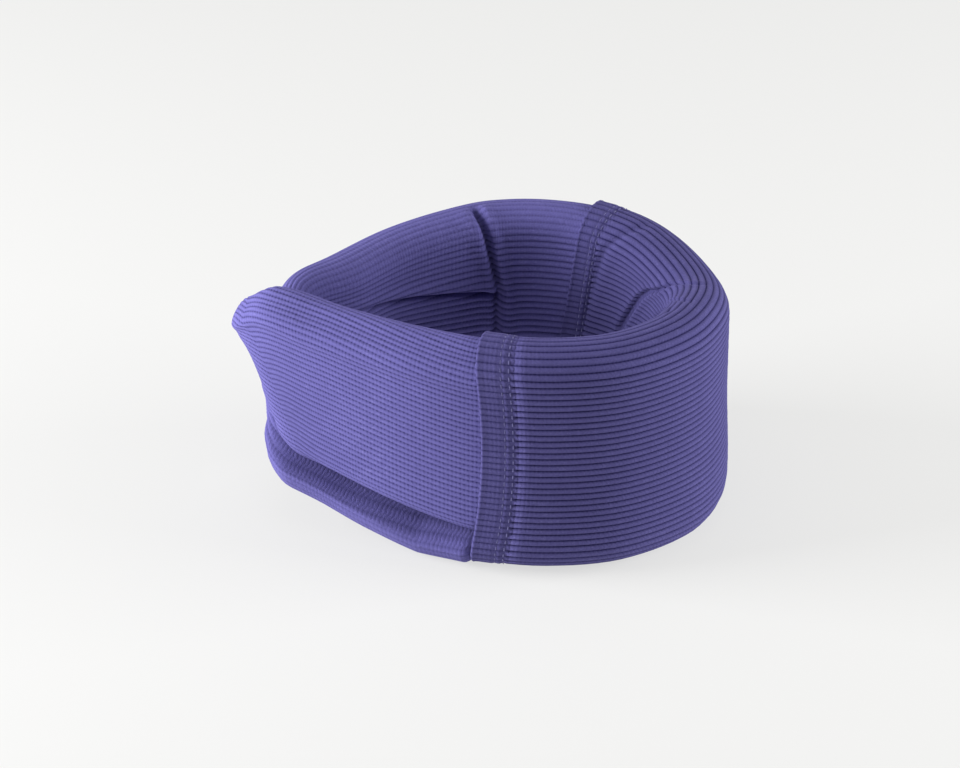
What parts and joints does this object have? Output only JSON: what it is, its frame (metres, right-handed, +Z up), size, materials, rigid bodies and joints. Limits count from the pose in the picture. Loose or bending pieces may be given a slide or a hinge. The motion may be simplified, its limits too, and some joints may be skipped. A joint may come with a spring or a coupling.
{
  "type": "soft cervical collar",
  "caption": "Soft cervical collar: knit-covered foam strip closed into a ring by its overlapping ends, with a removable knitted sleeve over the front half.",
  "frame": {"origin": "on the surface it stands on, under the middle of the whole collar", "axes": "+Z up along the neck, +X towards the sleeve's half, longest across the ring from the free tip to the sleeve, -Y the side where the ends overlap"},
  "size_m": [0.172, 0.1356, 0.0872],
  "materials": {
    "cover_knit": "rib-knit stockinette, matt",
    "sleeve_knit": "coarse rib-knit sleeve, matt",
    "thread": "sewing thread",
    "foam": "soft open-cell foam",
    "tape": "hook and loop tape"
  },
  "bodies": {
    "front": {"front_foam": "foam", "front_cover": "cover_knit", "sleeve": "sleeve_knit", "near_hem": "sleeve_knit", "far_hem": "sleeve_knit", "near_stitch_row_1": "thread", "near_stitch_row_2": "thread", "far_stitch_row_1": "thread", "far_stitch_row_2": "thread"},
    "outer_end": {"outer_end_foam": "foam", "outer_end_cover": "cover_knit", "outer_end_seam": "thread", "hook_tape": "tape", "hook_tape_stitching": "thread"},
    "back": {"back_foam": "foam", "back_cover": "cover_knit", "inner_end_seam": "thread", "loop_tape": "tape", "loop_tape_stitching": "thread"}
  },
  "joints": [
    {"name": "outer_end_peel", "type": "hinge", "parent": "front", "child": "outer_end", "pos_m": [-0.00494, -0.06398, 0.0435], "axis": [0, 0, 1], "range_deg": [0, 90], "stiffness_Nm_per_rad": 0.03},
    {"name": "ring_spread", "type": "hinge", "parent": "front", "child": "back", "pos_m": [0.00109, 0.06571, 0.0435], "axis": [0, 0, -1], "range_deg": [0, 22.5], "stiffness_Nm_per_rad": 0.05}
  ],
  "couplings": [
    {"joint": "ring_spread", "follows": "outer_end_peel", "ratio": 0.25}
  ]
}
